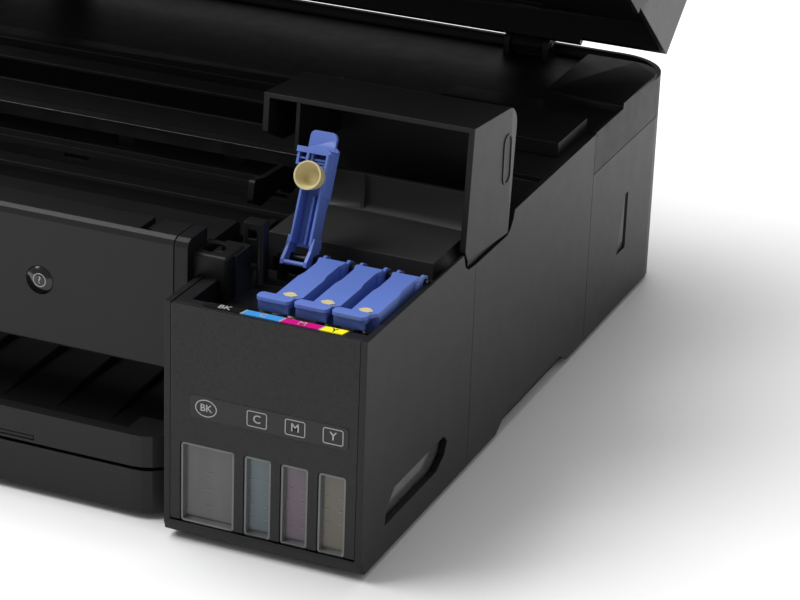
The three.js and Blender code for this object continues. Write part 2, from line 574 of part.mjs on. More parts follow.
// ---- filler levers with their cream plugs ----
const leverNames = ['black', 'cyan', 'magenta', 'yellow'];

// the black ink's lever has a straight finger tab and a wider head, so that only its bottle fits
function leverShape(x, wideHead) {
  const { y, z } = leverPivot;
  const top = z + 4;
  const low = top - 8.5;
  const tip = frontY + 11;
  const rear = y - 4.2;
  const shoulder = frontY + 36;
  const outline = [[x - 5.2, tip + 4], [x + 3, tip + 4], [x + 4, tip + 5.6], [x + 5.2, tip + 6.5], [x + 5.2, shoulder],
    [x + 4.5, shoulder + 4], [x + 4.5, rear - 5], [x + 5.5, rear - 1.5], [x + 5.5, rear], [x - 5.5, rear],
    [x - 5.5, rear - 1.5], [x - 4.5, rear - 5], [x - 4.5, shoulder + 4], [x - 5.2, shoulder]];
  const parts = [alongZ(outline, top - 1.5, top)];
  for (const side of [-1, 1]) {
    const strip = (a, b, y0, y1, z0) => box(Math.min(x + side * a, x + side * b), Math.max(x + side * a, x + side * b),
      y0, y1, z0, top - 1);
    parts.push(strip(3.5, 4.5, tip + 8, rear - 1, low));
    parts.push(strip(4.2, 5.2, tip + 8, shoulder, low + 2));
    // cheek round the rod, reaching down to the cross bar
    parts.push(alongX([[rear - 4, top - 1], [rear - 4, low + 0.5], [y - 3, z - 5], [y + 1.4, z - 7.4], [y + 3.3, z - 7.2],
      [y + 3.6, z - 1], [y + 2.6, z + 2], [y, z + 3.2], [rear + 0.5, top - 1]],
    side > 0 ? x + 4.2 : x - 5.5, side > 0 ? x + 5.5 : x - 4.2));
  }
  parts.push(box(x - 0.5, x + 0.5, portY + 7, rear - 1, top - 4, top - 1));
  parts.push(box(x - 5.2, x + 5.2, tip + 7.4, tip + 8.8, low, top - 1));
  parts.push(box(x - 4.4, x + 4.4, tip + 12, tip + 13, low + 2.5, top - 1));
  parts.push(box(x - 5, x + 5, rear - 1.6, rear, z + 1.6, top - 1));
  parts.push(rodX(y + 2.3, z - 6.4, 0.9, x - 5, x + 5, 12));
  if (wideHead) {
    const bar = (x0, x1, y0, y1, z0) => parts.push(box(x + x0, x + x1, tip + y0, tip + y1, z0, top - 0.6));
    parts.push(alongZ(rounded(x - 7.4, x + 3.6, tip, tip + 8, [2.2, 2.2, 0.4, 0.4], 5), top - 1.6, top));
    parts.push(box(x - 8.9, x - 4, tip + 7.4, tip + 14.2, top - 1.4, top - 0.1));
    bar(-8.9, 3.9, 7.2, 9.4, low);
    bar(-8.9, 3.9, 11, 11.8, low + 2);
    bar(-8.9, 3.9, 13.4, 14.2, low + 1.5);
    bar(-8.9, -7.9, 7.2, 14.2, low + 1.5);
    bar(-2.9, -2.1, 7.2, 14.2, low + 1);
  } else {
    parts.push(alongZ(rounded(x - 10.8, x + 2.9, tip, tip + 5.2, [1.8, 1.8, 0.4, 1.8], 4), top - 1.2, top + 0.3));
    parts.push(box(x - 10, x + 2.2, tip + 0.8, tip + 2, top - 5.2, top - 0.6));
    parts.push(box(x - 3, x + 2.2, tip + 1, tip + 8, top - 3.2, top - 0.6));
  }
  return cut(join(...parts), rodX(y, z, 1.8, x - 7, x + 7, 20));
}

function plugShape(x) {
  const seat = leverPivot.z + 4 - 1.5 - gap;
  const low = filler.recess + 2.2;
  const cup = cut(rodZ(x, portY, 5.6, low, low + 6, 28, 4.9), rodZ(x, portY, 4.9, low - 0.01, low + 5, 28, 3));
  return join(cup, rodZ(x, portY, 2, low + 5.8, seat, 20));
}

function makeLevers() {
  leverNames.forEach((colour, i) => {
    const open = i === 0 ? -leverOpenAngle : 0;
    const group = swing(printer, leverPivot, open);
    addMesh(group, `lever_${colour}`, leverShape(laneX(i), i === 0), leverBlue);
    addMesh(group, `plug_${colour}`, plugShape(laneX(i)), plugCream);
  });
}

// ---- print mechanism ----
const chassis = { left: leftX + 15.5, right: rightX - 19.5, low: 58, high: 94 };
const sheet = 1.5;
const rail = { y0: frameY - 7, z0: 80, z1: 86 };
const belt = { y: frameY - 10, z0: 70, z1: 73, radius: 4, left: leftX + 29.5, right: rightX - 25.8 };
const carriage = { x0: rightX - 77, x1: rightX - 31, y0: frameY - 52, y1: frameY - 2, z0: 52, z1: 91.5 };

function makeChassis() {
  const y = frameY;
  const c = chassis;
  let frame = alongX([[y, c.low], [y + 26, c.low], [y + 26, c.high + 5], [y + 14, c.high + 5], [y + 14, c.high + 5 - sheet],
    [y + 26 - sheet, c.high + 5 - sheet], [y + 26 - sheet, c.low + sheet], [y + sheet, c.low + sheet],
    [y + sheet, c.high], [y, c.high]], c.left, mouth.right - 3);
  frame = frame.add(box(mouth.right - 4, c.right, y, y + sheet, c.low, deckZ - gap));
  for (const x of [c.left, c.right - sheet]) {
    frame = frame.add(box(x, x + sheet, y, y + 5.5, floorTop + gap, deckZ - gap));
  }
  const holes = [[-150, 14, 62, 12], [-126, 8, 74, 8], [-96, 26, 64, 9], [-60, 6, 78, 6], [-44, 12, 62, 10],
    [-18, 9, 72, 7], [4, 20, 64, 7], [34, 10, 74, 5], [58, 7, 62, 14]];
  for (const [x, w, z, h] of holes) {
    frame = cut(frame, box(x, x + w, y - 1, y + sheet + 1, z, z + h));
  }
  // idler bracket for the belt
  frame = frame.add(box(belt.right - 3, belt.right + 3, belt.y - 3, y + 0.5, belt.z0 - 3, belt.z0 - 0.6));
  frame = frame.add(rodZ(belt.right, belt.y, belt.radius - 1.3, belt.z0 - 1, belt.z1 + 1, 16));
  addMesh(printer, 'chassis_frame', frame, darkSteel);
  addMesh(printer, 'carriage_rail', box(c.left + 2, c.right - 2, rail.y0, y - gap, rail.z0, rail.z1), steel);
}

function makeCarriage() {
  const c = carriage;
  let shell = alongX([[c.y0, c.z0 + 10], [c.y0 + 8, c.z0], [c.y1, c.z0], [c.y1, c.z1], [c.y0 + 10, c.z1],
    [c.y0, c.z1 - 12]], c.x0, c.x1);
  shell = cut(shell,
    box(c.x0 + 2.5, c.x1 - 2.5, c.y0 + 12, belt.y - 7, c.z0 + 10, c.z1 + 1),
    box(c.x0 - 1, c.x1 + 1, rail.y0 - gap, c.y1 + 1, rail.z0 - gap, rail.z1 + gap),
    box(c.x0 - 1, c.x1 + 1, belt.y - belt.radius - 0.6, c.y1 + 1, belt.z0 - 0.6, belt.z1 + 1.6),
  );
  addMesh(printer, 'print_carriage', shell, innerBlack);
  const head = join(box(c.x0 + 5, c.x1 - 5, c.y0 + 12, c.y1 - 12, paperZ + 1.8, c.z0 - gap),
    box(c.x0 + 9, c.x1 - 9, c.y0 + 16, c.y1 - 16, paperZ + 1.2, paperZ + 2));
  addMesh(printer, 'print_head', head, steel);
}

// toothless stand-in for the carriage belt, with its motor at the left end
function makeDrive() {
  const r = belt.radius;
  const loop = (grow, z0, z1) => alongZ(rounded(belt.left - r - grow, belt.right + r + grow, belt.y - r - grow,
    belt.y + r + grow, r + grow - 0.01, 8), z0, z1);
  addMesh(printer, 'drive_belt', cut(loop(0, belt.z0, belt.z1), loop(-1, belt.z0 - 1, belt.z1 + 1)), beltBlack);
  const motor = join(rodZ(belt.left, belt.y, 9.5, paperZ + 1, belt.z0 - 0.6, 24),
    rodZ(belt.left, belt.y, r - 1.3, belt.z0 - 1, belt.z1 + 1, 16),
    box(belt.left - 8, belt.left + 8, belt.y, frameY - gap, belt.z0 - 14, belt.z0 - 8));
  addMesh(printer, 'carriage_motor', motor, darkSteel);
}

const rollers = { front: frameY - 62, rear: frameY + 8, z: paperZ - 5.6, x0: cassetteLeft - 3, x1: cassetteRight + 3.5 };

function makePaperPath() {
  const { x0, x1, front, rear, z } = rollers;
  const side = 3;
  let platen = box(x0 - side, x1, front + 8, rear - 8, paperZ - 9, paperZ - 1.5);
  platen = cut(platen, box(x0 + 4, x1 - 4, front + 16, rear - 16, paperZ - 6, paperZ));
  for (let x = x0 + 14; x < x1 - 8; x += 22) {
    platen = platen.add(box(x, x + 2, front + 14, rear - 14, paperZ - 7, paperZ - 1.2));
  }
  for (const x of [x0 - side, x1 - side]) {
    platen = platen.add(box(x, x + side, front - 5, rear + 5, trayBottom, paperZ));
  }
  platen = cut(platen, rodX(front, z, 2.9, x0 - 5, x1 + 2), rodX(rear, z, 2.9, x0 - 5, x1 + 2));
  addMesh(printer, 'platen', platen, innerBlack);
  const shaft = (y) => rodX(y, z, 2.6, x0 - side - 1, x1 + 1, 16);
  addMesh(printer, 'feed_roller', join(shaft(rear), rodX(rear, z, 5.2, x0 + 1, x1 - side - 1, 24)), steel);
  let eject = shaft(front);
  for (let x = x0 + 8; x < x1 - 16; x += 30) {
    eject = eject.add(rodX(front, z, 5, x, x + 9, 24));
  }
  addMesh(printer, 'eject_roller', eject, rubberBlack);
}

// holder of the star wheels, a sloping bar across the output
function makeStarBar() {
  const x0 = chassis.left + 4;
  const x1 = lidLeft - 1;
  const y = carriage.y0 - 2;
  let bar = alongX([[y - 9, 70], [y - 2, 62], [y, 62], [y, 74], [y - 3, 84], [y - 12, 84], [y - 12, 82], [y - 9, 81]], x0, x1);
  for (const x of [x0, x1 - 3]) {
    bar = bar.add(box(x, x + 3, y - 8, y - 2, floorTop + gap, 72));
  }
  addMesh(printer, 'star_wheel_bar', bar, innerBlack);
}

// ---- electronics ----
function makeElectronics() {
  const x0 = rightX - 74;
  const x1 = rightX - 22.5;
  let supply = box(x0, x1, frameY + 48, backY - 23.5, floorTop + gap, 58);
  supply = supply.add(box(inlet.x0 + 0.5, inlet.x1 - 0.5, backY - 24, backY - 0.6, inlet.z0 + 0.5, inlet.z1 - 0.5));
  supply = cut(supply, box(inlet.x0 + 3, inlet.x1 - 3, backY - 10, backY + 1, inlet.z0 + 4, inlet.z1 - 4));
  supply = join(supply, box(inlet.x0 + 6, inlet.x0 + 7.6, backY - 11, backY - 3, inlet.z0 + 8, inlet.z0 + 14),
    box(inlet.x1 - 7.6, inlet.x1 - 6, backY - 11, backY - 3, inlet.z0 + 8, inlet.z0 + 14));
  addMesh(printer, 'power_supply', supply, innerBlack);
  let board = box(innerLeft + 2 + gap, innerLeft + 4, frameY - 44, frameY + 33, floorTop + gap, 86);
  board = join(board, box(innerLeft + 3.5, innerLeft + 8, frameY - 24, frameY - 4, 40, 60),
    box(innerLeft + 3.5, innerLeft + 9, frameY + 6, frameY + 24, 20, 70));
  addMesh(printer, 'main_board', board, boardGreen);
}

// ---- output tray and paper cassette ----
const faceLeft = innerLeft + gap + 0.2;
const faceRight = panelEnd - 0.5;
const faceY = panelFrontY - 14;
const faceRear = panelFrontY + 2.5;

function makeOutputTray() {
  const y1 = frameY - 64;
  let tray = join(
    alongZ(rounded(faceLeft, faceRight, faceY, faceRear, [4, 16, 0, 0], 6), trayBottom, trayLip),
    box(cassetteLeft + 1, cassetteRight - 1, faceRear - 1, y1, trayBottom, trayBed),
  );
  tray = cut(tray, alongX([[faceY + 5, trayLip + 1], [faceY + 9, trayBed + 1], [faceRear - 1, trayBed], [faceRear + 1, trayBed], [faceRear + 1, trayLip + 1]],
    faceLeft + 20, faceRight - 20));
  tray = cut(tray, box(cassetteLeft + 40, cassetteRight - 40, faceY - 1, y1 - 30, trayBottom + 1, trayBed - 0.8));
  for (let x = cassetteLeft + 22; x < cassetteRight - 12; x += 24) {
    tray = tray.add(alongX([[panelFrontY + 2, trayBed - 0.5], [y1 - 2, trayBed - 0.5], [y1 - 4, trayBed + 5], [panelFrontY + 30, trayBed + 1.2]],
      x, x + 2));
  }
  addMesh(printer, 'output_tray', tray, caseBlack);
  const x0 = cassetteLeft + 40.5;
  const x1 = cassetteRight - 40.5;
  const z0 = trayBottom + 1.3;
  const extension = join(
    box(x0, x1, faceY + 0.4, y1 - 40, z0, z0 + 1.4),
    box(x0 + 30, x1 - 30, faceY - 1.4, faceY + 0.6, z0, z0 + 1.4),
  );
  addMesh(printer, 'tray_extension', extension, caseBlack);
}

function makeCassette() {
  const floorZ = floorTop + 1;
  const x0 = cassetteLeft;
  const x1 = cassetteRight;
  let tray = box(x0, x1, faceRear - 1, cassetteRear, floorZ, cassetteTop);
  tray = cut(tray, box(x0 + 2, x1 - 2, faceRear + 1, cassetteRear - 2, floorZ + 2, cassetteTop + 1));
  tray = tray.add(alongZ(rounded(faceLeft, faceRight, faceY, faceRear, [4, 16, 0, 0], 6), 3, cassetteTop));
  tray = cut(tray, box(x0 + 70, x1 - 70, faceY - 1, faceY + 6, 2, 8));
  addMesh(printer, 'paper_cassette', tray, caseBlack);
  const middle = (x0 + x1) / 2;
  const fence = (x, side) => join(
    box(x - 1, x + 1, panelFrontY + 60, panelFrontY + 150, floorZ + 2 + gap, cassetteTop - 1),
    box(Math.min(x, x + side * 12), Math.max(x, x + side * 12), panelFrontY + 90, panelFrontY + 110, floorZ + 2 + gap, floorZ + 3.8),
  );
  addMesh(printer, 'side_guide_left', fence(middle - 107, 1), keyGrey);
  addMesh(printer, 'side_guide_right', fence(middle + 107, -1), keyGrey);
  const end = join(
    box(middle - 25, middle + 25, panelFrontY + 8, panelFrontY + 10, floorZ + 2 + gap, cassetteTop - 1),
    box(middle - 10, middle + 10, panelFrontY + 9, panelFrontY + 30, floorZ + 2 + gap, floorZ + 3.8),
  );
  addMesh(printer, 'end_guide', end, keyGrey);
}

// ---- scanner unit, standing open ----
function makeScanner() {
  const unit = swing(printer, scannerPivot, -scannerOpenAngle);
  const floorZ = 114;
  const skirt = rimHeight + 0.8;
  const y0 = panelFrontY;
  const yr = backY - 19.5;
  const lean = coverPivot.y + 2.5 - yr;
  const outer = alongX([[y0, skirt], [yr, skirt], [yr + lean, scannerTop - 2], [y0, scannerTop - 2]], leftX, rightX);
  const tankRoof = lidPivot.z + lidPivot.y - frontY + 1;   // clears the lid standing open
  const lidTop = tankTopHeight + lidHeight + 2;
  const tankX = tankLeft - 9.5;
  const tankEnd = frontY + 148;
  let shell = cut(outer,
    box(leftX + wall, rightX - wall, y0 + wall, yr - 3, skirt - 1, floorZ),
    box(leftX - 1, rightX + 1, y0 - 1, y0 + wall + 1, skirt - 1, panelTop + 1),
    box(leftX - 1, tankX + 0.5, y0 - 1, panelFrontY + 46, skirt - 1, panelTop + 1),
    box(tankX, rightX - wall, y0 + wall, tankEnd, skirt - 1, tankRoof),
    box(tankX, rightX + 1, y0 - 1, frontY + 90, skirt - 1, lidTop),
    box(tankX, rightX + 1, frontY + 88, frontY + 145, skirt - 1, tankRoof),
    box(rightX - 40, rightX + 1, backY - 74, yr + 1, skirt - 1, rimHeight + 3.5),
    box(leftX - 1, leftX + 40, backY - 74, yr + 1, skirt - 1, rimHeight + 3.5),
  );
  // room for the scan head and the works, reached through the bed opening
  const room = join(
    box(leftX + 5, rightX - 5, y0 + 5, yr - 6, tankRoof + 2, scannerTop),
    box(leftX + 5, tankX - 2.5, y0 + 5, yr - 6, floorZ + wall, scannerTop),
    box(tankX - 4, rightX - 5, tankEnd + 2.5, yr - 6, floorZ + wall, scannerTop),
  );
  shell = cut(shell, room);
  // hinge arms reaching back to the pins between the housing's ears
  for (const side of [-1, 1]) {
    const x = side * 120;
    const arm = join(
      alongX([[scannerPivot.y - 4, scannerPivot.z - 2], [scannerPivot.y, scannerPivot.z - 4.5], [scannerPivot.y + 4, scannerPivot.z - 2],
        [scannerPivot.y + 4, scannerPivot.z + 8], [yr + 4, skirt + 22], [yr - 8, skirt + 22], [yr - 8, floorZ - 1], [scannerPivot.y - 6, floorZ - 1],
        [scannerPivot.y - 4, scannerPivot.z + 3]], x - 7.6, x + 7.6),
      rodX(scannerPivot.y, scannerPivot.z, 2.5, x - 11, x + 11),
    );
    shell = shell.add(arm);
  }
  // bed with the opening for the glass, and ears for the cover's pins
  const bed = { x0: -150, x1: 150, y0: panelFrontY + 34, y1: panelFrontY + 252 };
  shell = shell.add(alongX([[y0, scannerTop - 2.5], [yr + lean, scannerTop - 2.5], [yr + lean + 0.6, scannerTop],
    [y0, scannerTop]], leftX, rightX));
  shell = cut(shell, box(bed.x0, bed.x1, bed.y0, bed.y1, scannerTop - 5, scannerTop + 1));
  for (const x of [-118, 118]) {
    for (const ear of [-9, 6]) {
      shell = shell.add(box(x + ear, x + ear + 3, coverPivot.y - 4, coverPivot.y + 2.4, scannerTop - 1, coverPivot.z + 4));
    }
    shell = cut(shell, rodX(coverPivot.y, coverPivot.z, 2.3, x - 10, x + 10));
  }
  addMesh(unit, 'scanner_base', shell, caseBlack);
  addMesh(unit, 'scan_glass', box(bed.x0 + gap, bed.x1 - gap, bed.y0 + gap, bed.y1 - gap, scannerTop - 1.9, scannerTop - 0.4), glassClear);
  const headZ = tankRoof + 2 + gap;
  const head = join(box(-148, -132, bed.y0 + 2, bed.y1 - 2, headZ, scannerTop - 3),
    box(-144, -136, bed.y0 + 6, bed.y1 - 6, scannerTop - 3.2, scannerTop - 2.4));
  addMesh(unit, 'scan_head', head, innerBlack);
  makeDocumentCover(unit, y0);
}

function makeDocumentCover(unit, y0) {
  const z0 = scannerTop + 0.8;
  const { y, z } = coverPivot;
  const round = z - z0 - 0.2;
  const profile = [[y0, z0], [y - 1, z0]];
  for (let i = 0; i <= 6; i += 1) {
    const angle = (i / 6) * (Math.PI / 2);
    profile.push([y + round * Math.sin(angle), z - round * Math.cos(angle)]);
  }
  profile.push([y + round, coverTop - 4], [y + round - 4, coverTop], [y0 + 5, coverTop], [y0 + 1.4, coverTop - 1.4],
    [y0, coverTop - 5]);
  let cover = alongX(profile, leftX, rightX);
  cover = cut(cover, box(innerLeft, innerRight, y0 + wall, y + 3.4, z0 - 1, coverTop - wall));
  for (const x of [-118, 118]) {
    cover = cut(cover, box(x - 10, x + 10, y - 12, y + round + 1, z0 - 1, coverTop - wall));
    cover = cover.add(box(x - 5.4, x + 5.4, y - 3, y + 3, z - 3, coverTop - 1));
    cover = cover.add(rodX(y, z, 2, x - 9.5, x + 9.5));
  }
  addMesh(unit, 'document_cover', cover, caseBlack);
  const pad0 = panelFrontY + 26;
  const foam = join(box(-158, 158, pad0, pad0 + 232, z0 + 0.1, z0 + 5),
    box(-120, 120, pad0 + 40, pad0 + 190, z0 + 4.5, coverTop - wall - gap));
  addMesh(unit, 'cover_pad', foam, padWhite);
}

makeBase();
makeSideCovers();
makeRearCovers();
makeUpperHousing();
makeFrontBeam();
makeControlPanel();
makeTankCase();
makeFrontPlate();
makeTanks();
makeFillerDeck();
makeLeverGuard();
makeTankLid();
makeLevers();
makeChassis();
makeCarriage();
makeDrive();
makePaperPath();
makeStarBar();
makeElectronics();
makeOutputTray();
makeCassette();
makeScanner();

export default printer;
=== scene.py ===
import bpy
import json
import math
from mathutils import Matrix, Vector


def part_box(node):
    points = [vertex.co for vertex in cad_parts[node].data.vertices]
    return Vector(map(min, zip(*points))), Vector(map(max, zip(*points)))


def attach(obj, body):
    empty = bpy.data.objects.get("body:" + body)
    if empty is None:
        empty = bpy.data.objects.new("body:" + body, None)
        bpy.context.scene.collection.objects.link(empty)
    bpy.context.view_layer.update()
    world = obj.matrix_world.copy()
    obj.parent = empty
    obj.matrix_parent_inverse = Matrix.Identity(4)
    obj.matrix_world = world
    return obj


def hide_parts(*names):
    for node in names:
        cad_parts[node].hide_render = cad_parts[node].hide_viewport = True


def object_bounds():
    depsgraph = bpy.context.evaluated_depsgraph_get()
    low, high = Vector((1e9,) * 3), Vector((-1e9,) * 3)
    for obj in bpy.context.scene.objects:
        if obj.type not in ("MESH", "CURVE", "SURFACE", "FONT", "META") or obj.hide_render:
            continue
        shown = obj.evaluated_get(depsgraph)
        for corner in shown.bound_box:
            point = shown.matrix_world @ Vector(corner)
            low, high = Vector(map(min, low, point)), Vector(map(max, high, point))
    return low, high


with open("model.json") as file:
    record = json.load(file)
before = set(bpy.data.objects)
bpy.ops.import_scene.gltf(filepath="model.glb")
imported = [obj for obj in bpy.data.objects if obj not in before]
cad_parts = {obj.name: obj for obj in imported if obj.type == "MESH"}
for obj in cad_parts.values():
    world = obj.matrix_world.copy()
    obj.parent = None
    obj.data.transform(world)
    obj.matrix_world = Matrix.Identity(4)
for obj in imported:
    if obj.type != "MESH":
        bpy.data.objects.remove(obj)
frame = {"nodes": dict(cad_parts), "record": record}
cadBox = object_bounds()
mm = 0.001
nodes = frame["nodes"]
bodyOf = {n: body for body, members in frame["record"]["behaviour"]["bodies"].items() for n in members}
print("frame loaded:", len(nodes), "nodes")


# finishes
def newTree(name):
    material = bpy.data.materials.new(name)
    material.use_nodes = True
    tree = material.node_tree
    shader = tree.nodes["Principled BSDF"]
    place = tree.nodes.new("ShaderNodeTexCoord").outputs["Object"]
    return material, tree, shader, place


def stretched(tree, place, scale):
    mapping = tree.nodes.new("ShaderNodeMapping")
    mapping.inputs["Scale"].default_value = scale
    tree.links.new(place, mapping.inputs["Vector"])
    return mapping.outputs["Vector"]


def noise(tree, place, scale, detail=3.0, roughness=0.5):
    cloud = tree.nodes.new("ShaderNodeTexNoise")
    cloud.inputs["Scale"].default_value = scale
    cloud.inputs["Detail"].default_value = detail
    cloud.inputs["Roughness"].default_value = roughness
    tree.links.new(place, cloud.inputs["Vector"])
    return cloud.outputs["Fac"]


def ramp(tree, value, stops):
    colours = tree.nodes.new("ShaderNodeValToRGB")
    bar = colours.color_ramp
    bar.elements[0].position, bar.elements[0].color = stops[0][0], (*stops[0][1], 1)
    bar.elements[1].position, bar.elements[1].color = stops[-1][0], (*stops[-1][1], 1)
    for position, colour in stops[1:-1]:
        bar.elements.new(position).color = (*colour, 1)
    tree.links.new(value, colours.inputs["Fac"])
    return colours.outputs["Color"]


def between(tree, value, low, high):
    spread = tree.nodes.new("ShaderNodeMapRange")
    spread.inputs["From Min"].default_value = 0.3
    spread.inputs["From Max"].default_value = 0.7
    spread.inputs["To Min"].default_value = low
    spread.inputs["To Max"].default_value = high
    tree.links.new(value, spread.inputs["Value"])
    return spread.outputs["Result"]


def softenedEdges(tree, shader, height, strength, distance, radius):
    bump = tree.nodes.new("ShaderNodeBump")
    bump.inputs["Strength"].default_value = strength
    bump.inputs["Distance"].default_value = distance
    tree.links.new(height, bump.inputs["Height"])
    if radius:
        rounding = tree.nodes.new("ShaderNodeBevel")
        rounding.samples = 4
        rounding.inputs["Radius"].default_value = radius
        tree.links.new(rounding.outputs["Normal"], bump.inputs["Normal"])
    tree.links.new(bump.outputs["Normal"], shader.inputs["Normal"])


def shade(colour, factor):
    return tuple(min(1.0, c * factor) for c in colour)


def plastic(name, colour, rough=(0.38, 0.5), grain=1500, depth=0.25,
            mottle=0.05, specular=0.4, radius=0.0005):
    material, tree, shader, place = newTree(name)
    broad = noise(tree, place, 26, 4)
    tone = ramp(tree, broad, [(0.25, shade(colour, 1 - mottle)), (0.5, colour),
                              (0.75, shade(colour, 1 + mottle))])
    tree.links.new(tone, shader.inputs["Base Color"])
    tree.links.new(between(tree, noise(tree, place, 120, 3), *rough), shader.inputs["Roughness"])
    shader.inputs["Specular IOR Level"].default_value = specular
    softenedEdges(tree, shader, noise(tree, place, grain, 3, 0.6), depth, 0.0001, radius)
    return material


def grained(name, colour, rough=(0.42, 0.56), cell=950, depth=0.5, specular=0.4):
    material, tree, shader, place = newTree(name)
    cells = tree.nodes.new("ShaderNodeTexVoronoi")
    cells.feature = "SMOOTH_F1"
    cells.inputs["Scale"].default_value = cell
    tree.links.new(place, cells.inputs["Vector"])
    tone = ramp(tree, noise(tree, place, 40, 4), [(0.3, shade(colour, 0.85)), (0.7, shade(colour, 1.15))])
    tree.links.new(tone, shader.inputs["Base Color"])
    tree.links.new(between(tree, cells.outputs["Distance"], *rough), shader.inputs["Roughness"])
    shader.inputs["Specular IOR Level"].default_value = specular
    softenedEdges(tree, shader, cells.outputs["Distance"], depth, 0.00016, 0.0005)
    return material


def metal(name, colour, rough=(0.25, 0.4), stretch=(4, 400, 400), depth=0.15):
    material, tree, shader, place = newTree(name)
    lengthwise = stretched(tree, place, stretch)
    lines = noise(tree, lengthwise, 3, 4, 0.65)
    tone = ramp(tree, lines, [(0.3, shade(colour, 0.82)), (0.7, shade(colour, 1.12))])
    tree.links.new(tone, shader.inputs["Base Color"])
    shader.inputs["Metallic"].default_value = 1.0
    tree.links.new(between(tree, noise(tree, place, 70, 3), *rough), shader.inputs["Roughness"])
    softenedEdges(tree, shader, lines, depth, 0.00006, 0.0003)
    return material


def clearPlastic(name, colour, through=0.85, rough=(0.08, 0.16), streak=(60, 60, 12)):
    material, tree, shader, place = newTree(name)
    cloud = noise(tree, stretched(tree, place, streak), 1.4, 4)
    tone = ramp(tree, cloud, [(0.3, shade(colour, 0.85)), (0.7, shade(colour, 1.12))])
    tree.links.new(tone, shader.inputs["Base Color"])
    shader.inputs["Transmission Weight"].default_value = through
    shader.inputs["IOR"].default_value = 1.49
    tree.links.new(between(tree, cloud, *rough), shader.inputs["Roughness"])
    softenedEdges(tree, shader, noise(tree, place, 500, 2), 0.08, 0.0001, 0.0003)
    return material


def circuitBoard(name):
    material, tree, shader, place = newTree(name)
    tracks = tree.nodes.new("ShaderNodeTexBrick")
    tracks.inputs["Scale"].default_value = 90
    tracks.inputs["Mortar Size"].default_value = 0.012
    tracks.inputs["Color1"].default_value = (0.012, 0.09, 0.035, 1)
    tracks.inputs["Color2"].default_value = (0.02, 0.13, 0.05, 1)
    tracks.inputs["Mortar"].default_value = (0.10, 0.26, 0.09, 1)
    tree.links.new(place, tracks.inputs["Vector"])
    tree.links.new(tracks.outputs["Color"], shader.inputs["Base Color"])
    tree.links.new(between(tree, noise(tree, place, 200), 0.3, 0.45), shader.inputs["Roughness"])
    softenedEdges(tree, shader, tracks.outputs["Fac"], 0.2, 0.00008, 0.0)
    return material


# plastics: name, colour, roughness from and to, grain, depth, mottling, shine, edge radius
finishes = {
    "case_black": plastic("satinBlackShell", (0.0085, 0.0085, 0.0093),
                          (0.4, 0.43), 1700, 0.22, 0.04, 0.26),
    "grain_black": grained("grainedBlackShell", (0.0095, 0.0095, 0.0105), specular=0.3),
    "inner_black": plastic("innerBlackPlastic", (0.006, 0.006, 0.0068),
                           (0.44, 0.5), 1300, 0.3, 0.05, 0.24),
    "gloss_black": plastic("glossBlackKeys", (0.006, 0.006, 0.007),
                           (0.1, 0.18), 700, 0.04, 0.1, 0.5),
    "lever_blue": plastic("leverBluePlastic", (0.115, 0.19, 0.56),
                          (0.36, 0.44), 1400, 0.15, 0.05, 0.42, 0.0004),
    "plug_cream": plastic("plugCreamElastomer", (0.62, 0.53, 0.28),
                          (0.42, 0.55), 1100, 0.2, 0.06, 0.35, 0.0004),
    "tank_resin": clearPlastic("tankResin", (0.5, 0.53, 0.56), 0.6, (0.2, 0.32)),
    "rubber_black": plastic("rubberBlack", (0.01, 0.01, 0.01), (0.7, 0.85), 900, 0.5, 0.2, 0.25),
    "dark_steel": metal("blackenedSteel", (0.03, 0.031, 0.034), (0.34, 0.46), (4, 60, 60), 0.08),
    "bright_steel": metal("drawnSteel", (0.16, 0.16, 0.165), (0.3, 0.42), (3, 40, 40), 0.05),
    "board_green": circuitBoard("circuitBoardGreen"),
    "scan_glass": clearPlastic("scanGlass", (0.75, 0.82, 0.8), 0.92, (0.01, 0.05)),
    "pad_white": plastic("whitePadFoam", (0.72, 0.72, 0.7), (0.6, 0.75), 600, 0.5, 0.04, 0.3),
    "print_white": plastic("whitePrint", (0.34, 0.34, 0.34), (0.4, 0.5), 2600, 0.1, 0.08, 0.3, 0.0),
    "guide_grey": plastic("guideGreyPlastic", (0.2, 0.205, 0.215),
                          (0.4, 0.5), 1300, 0.2, 0.08, 0.4),
}
print("finishes made:", len(finishes))


# helpers for shaping
def alone(piece):
    if bpy.context.object and bpy.context.object.mode != "OBJECT":
        bpy.ops.object.mode_set(mode="OBJECT")
    bpy.ops.object.select_all(action="DESELECT")
    if piece:
        piece.select_set(True)
        bpy.context.view_layer.objects.active = piece


def refined(node, angle=20):
    # the CAD piece's shape with its loose triangles joined and its curves smoothed
    piece = bpy.data.objects.new(node + "_finished", nodes[node].data.copy())
    bpy.context.scene.collection.objects.link(piece)
    alone(piece)
    bpy.ops.object.mode_set(mode="EDIT")
    bpy.ops.mesh.select_all(action="SELECT")
    bpy.ops.mesh.remove_doubles(threshold=2e-6)
    bpy.ops.object.mode_set(mode="OBJECT")
    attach(piece, bodyOf[node])
    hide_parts(node)
    return smoothed(piece, angle)


def smoothed(piece, angle=30):
    alone(piece)
    bpy.ops.object.shade_smooth_by_angle(angle=math.radians(angle))
    weighted = piece.modifiers.new("flatFacesLead", "WEIGHTED_NORMAL")
    weighted.keep_sharp = True
    weighted.weight = 100
    bpy.ops.object.modifier_apply(modifier=weighted.name)
    return piece


def settle(piece, name, body, slot=None, finish=None, angle=35):
    # last steps of every new piece: name, place in the mesh, shading, finish and body
    alone(piece)
    piece.name = name
    bpy.ops.object.transform_apply(location=True, rotation=True, scale=True)
    smoothed(piece, angle)
    piece.data.materials.clear()
    piece.data.materials.append(finish or finishes[slot])
    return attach(piece, body)


